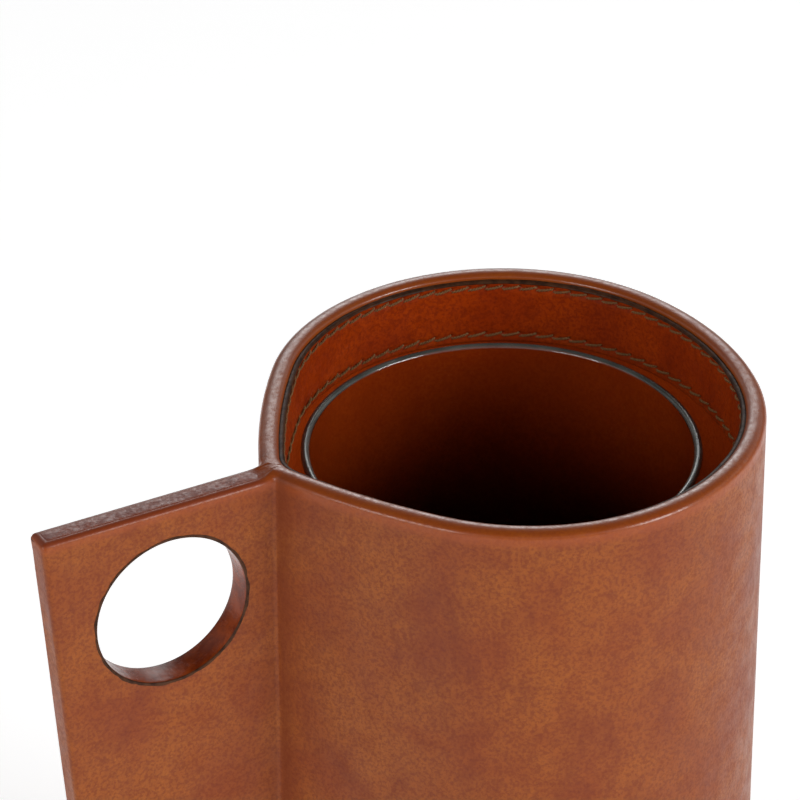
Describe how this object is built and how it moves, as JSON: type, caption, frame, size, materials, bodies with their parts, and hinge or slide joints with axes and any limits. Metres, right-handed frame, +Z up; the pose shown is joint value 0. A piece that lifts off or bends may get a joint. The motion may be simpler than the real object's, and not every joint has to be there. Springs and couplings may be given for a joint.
{
  "type": "leather-covered carafe vase",
  "caption": "Tall teardrop vessel covered in brown leather, with a flat fin handle pierced by a finger hole, a stitched inner band and a lift-out glass liner.",
  "frame": {"origin": "on the glass liner's axis, at the underside of the base leather", "axes": "+Z up through the mouth, -X towards the handle, +Y to the back when the handle is on the left"},
  "size_m": [0.1912, 0.1288, 0.22],
  "materials": {
    "cover_leather": "waxed aniline cognac leather, satin",
    "edge_leather": "burnished dark leather strip, semi-gloss",
    "lining_leather": "smooth vegetable-tanned lining, satin",
    "band_leather": "reddish brown facing with dark painted edge, satin",
    "core_board": "sealed wood board, hidden",
    "thread": "waxed linen thread",
    "felt": "dense wool felt",
    "clear_glass": "clear glass with a faint green edge, ground rim"
  },
  "bodies": {
    "shell": {"outer_cover": "cover_leather", "body_core": "core_board", "handle_core": "core_board", "handle_top_strip": "edge_leather", "hole_lining": "edge_leather", "inner_lining": "lining_leather", "rim_band": "band_leather", "upper_stitching": "thread", "lower_stitching": "thread", "base_board": "core_board", "base_leather": "cover_leather", "floor_pad": "felt"},
    "liner": {"glass_liner": "clear_glass"}
  },
  "joints": [
    {"name": "liner_lift", "type": "slide", "parent": "shell", "child": "liner", "axis": [0, 0, 1], "range_m": [0, 0.22]}
  ]
}
